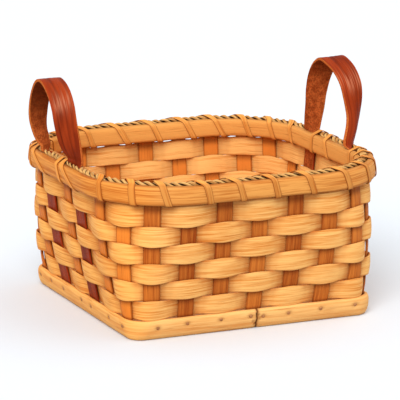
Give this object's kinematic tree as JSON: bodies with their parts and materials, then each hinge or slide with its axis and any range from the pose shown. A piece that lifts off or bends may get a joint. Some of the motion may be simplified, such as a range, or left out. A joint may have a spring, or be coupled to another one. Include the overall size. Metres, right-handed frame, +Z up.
{
  "type": "napkin basket",
  "caption": "Square woven reed basket for napkins: flared wall on a board base, lashed rim with a cord filler, and a leather finger loop on two opposite sides.",
  "frame": {"origin": "centre of the base board's underside, on the table", "axes": "+Z up, front face towards -Y, leather loops on the -X and +X faces"},
  "size_m": [0.2207, 0.2154, 0.1626],
  "materials": {
    "weaver_reed": "honey-stained flat reed, satin",
    "stake_reed": "orange-brown stained flat reed, satin",
    "base_band": "half-round reed, satin",
    "base_board": "sanded board, matt",
    "rim_reed": "half-round reed, satin",
    "seagrass": "twisted plant cord, matt",
    "lashing_reed": "pale thin reed, satin",
    "leather": "reddish brown, smooth outside and suede inside"
  },
  "bodies": {
    "basket": {"base_board": "base_board", "base_band": "base_band", "top_weaver": "weaver_reed", "rim_outer": "rim_reed", "rim_inner": "rim_reed", "rim_filler": "seagrass", "rim_lashing": "lashing_reed", "stake_front_1": "stake_reed", "stake_front_2": "stake_reed", "stake_front_3": "stake_reed", "stake_front_4": "stake_reed", "stake_front_5": "stake_reed", "stake_front_6": "stake_reed", "stake_front_7": "stake_reed", "stake_right_1": "stake_reed", "stake_right_2": "stake_reed", "stake_right_4": "stake_reed", "stake_right_6": "stake_reed", "stake_right_7": "stake_reed", "stake_back_1": "stake_reed", "stake_back_2": "stake_reed", "stake_back_3": "stake_reed", "stake_back_4": "stake_reed", "stake_back_5": "stake_reed", "stake_back_6": "stake_reed", "stake_back_7": "stake_reed", "stake_left_1": "stake_reed", "stake_left_2": "stake_reed", "stake_left_4": "stake_reed", "stake_left_6": "stake_reed", "stake_left_7": "stake_reed", "weaver_row_1": "weaver_reed", "weaver_row_2": "weaver_reed", "weaver_row_3": "weaver_reed", "weaver_row_4": "weaver_reed", "weaver_row_5": "weaver_reed", "weaver_row_6": "weaver_reed", "strap_left_leg_front": "leather", "strap_left_leg_back": "leather", "strap_right_leg_front": "leather", "strap_right_leg_back": "leather"},
    "strap_left": {"strap_left_loop": "leather"},
    "strap_right": {"strap_right_loop": "leather"}
  },
  "joints": [
    {"name": "strap_left_flex", "type": "hinge", "parent": "basket", "child": "strap_left", "pos_m": [-0.09769, 0, 0.10971], "axis": [0, -1, 0], "range_deg": [-50, 40], "stiffness_Nm_per_rad": 0.05},
    {"name": "strap_right_flex", "type": "hinge", "parent": "basket", "child": "strap_right", "pos_m": [0.09769, 0, 0.10971], "axis": [0, 1, 0], "range_deg": [-50, 50], "stiffness_Nm_per_rad": 0.05}
  ]
}
